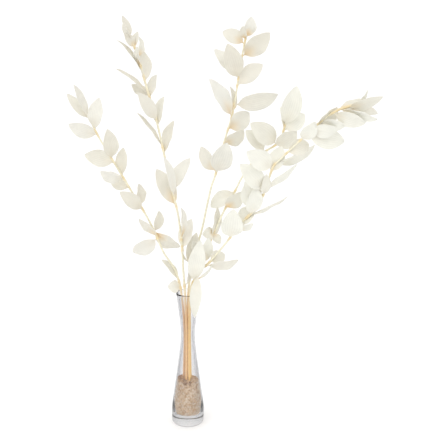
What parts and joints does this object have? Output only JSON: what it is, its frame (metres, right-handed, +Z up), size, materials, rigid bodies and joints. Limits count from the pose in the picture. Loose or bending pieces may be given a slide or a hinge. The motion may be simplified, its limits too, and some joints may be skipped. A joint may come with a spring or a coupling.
{
  "type": "preserved ruscus branches in a glass bud vase",
  "caption": "Bleached, preserved ruscus stems with narrow pointed leaves, standing in fine tan granules in a waisted clear glass bud vase.",
  "frame": {"origin": "centre of the vase's foot, on the surface it stands on", "axes": "+Z up along the vase's axis, -Y towards the front of the bunch, +X to the right seen from the front"},
  "size_m": [0.4166, 0.151, 0.5842],
  "materials": {
    "clear_glass": "polished",
    "tan_granules": "matte",
    "bleached_ruscus": "satin"
  },
  "bodies": {
    "root": {"vase": "clear_glass", "granules": "tan_granules", "branch_far_left": "bleached_ruscus", "branch_left": "bleached_ruscus", "branch_middle": "bleached_ruscus", "branch_right": "bleached_ruscus", "branch_far_right": "bleached_ruscus"}
  },
  "joints": []
}
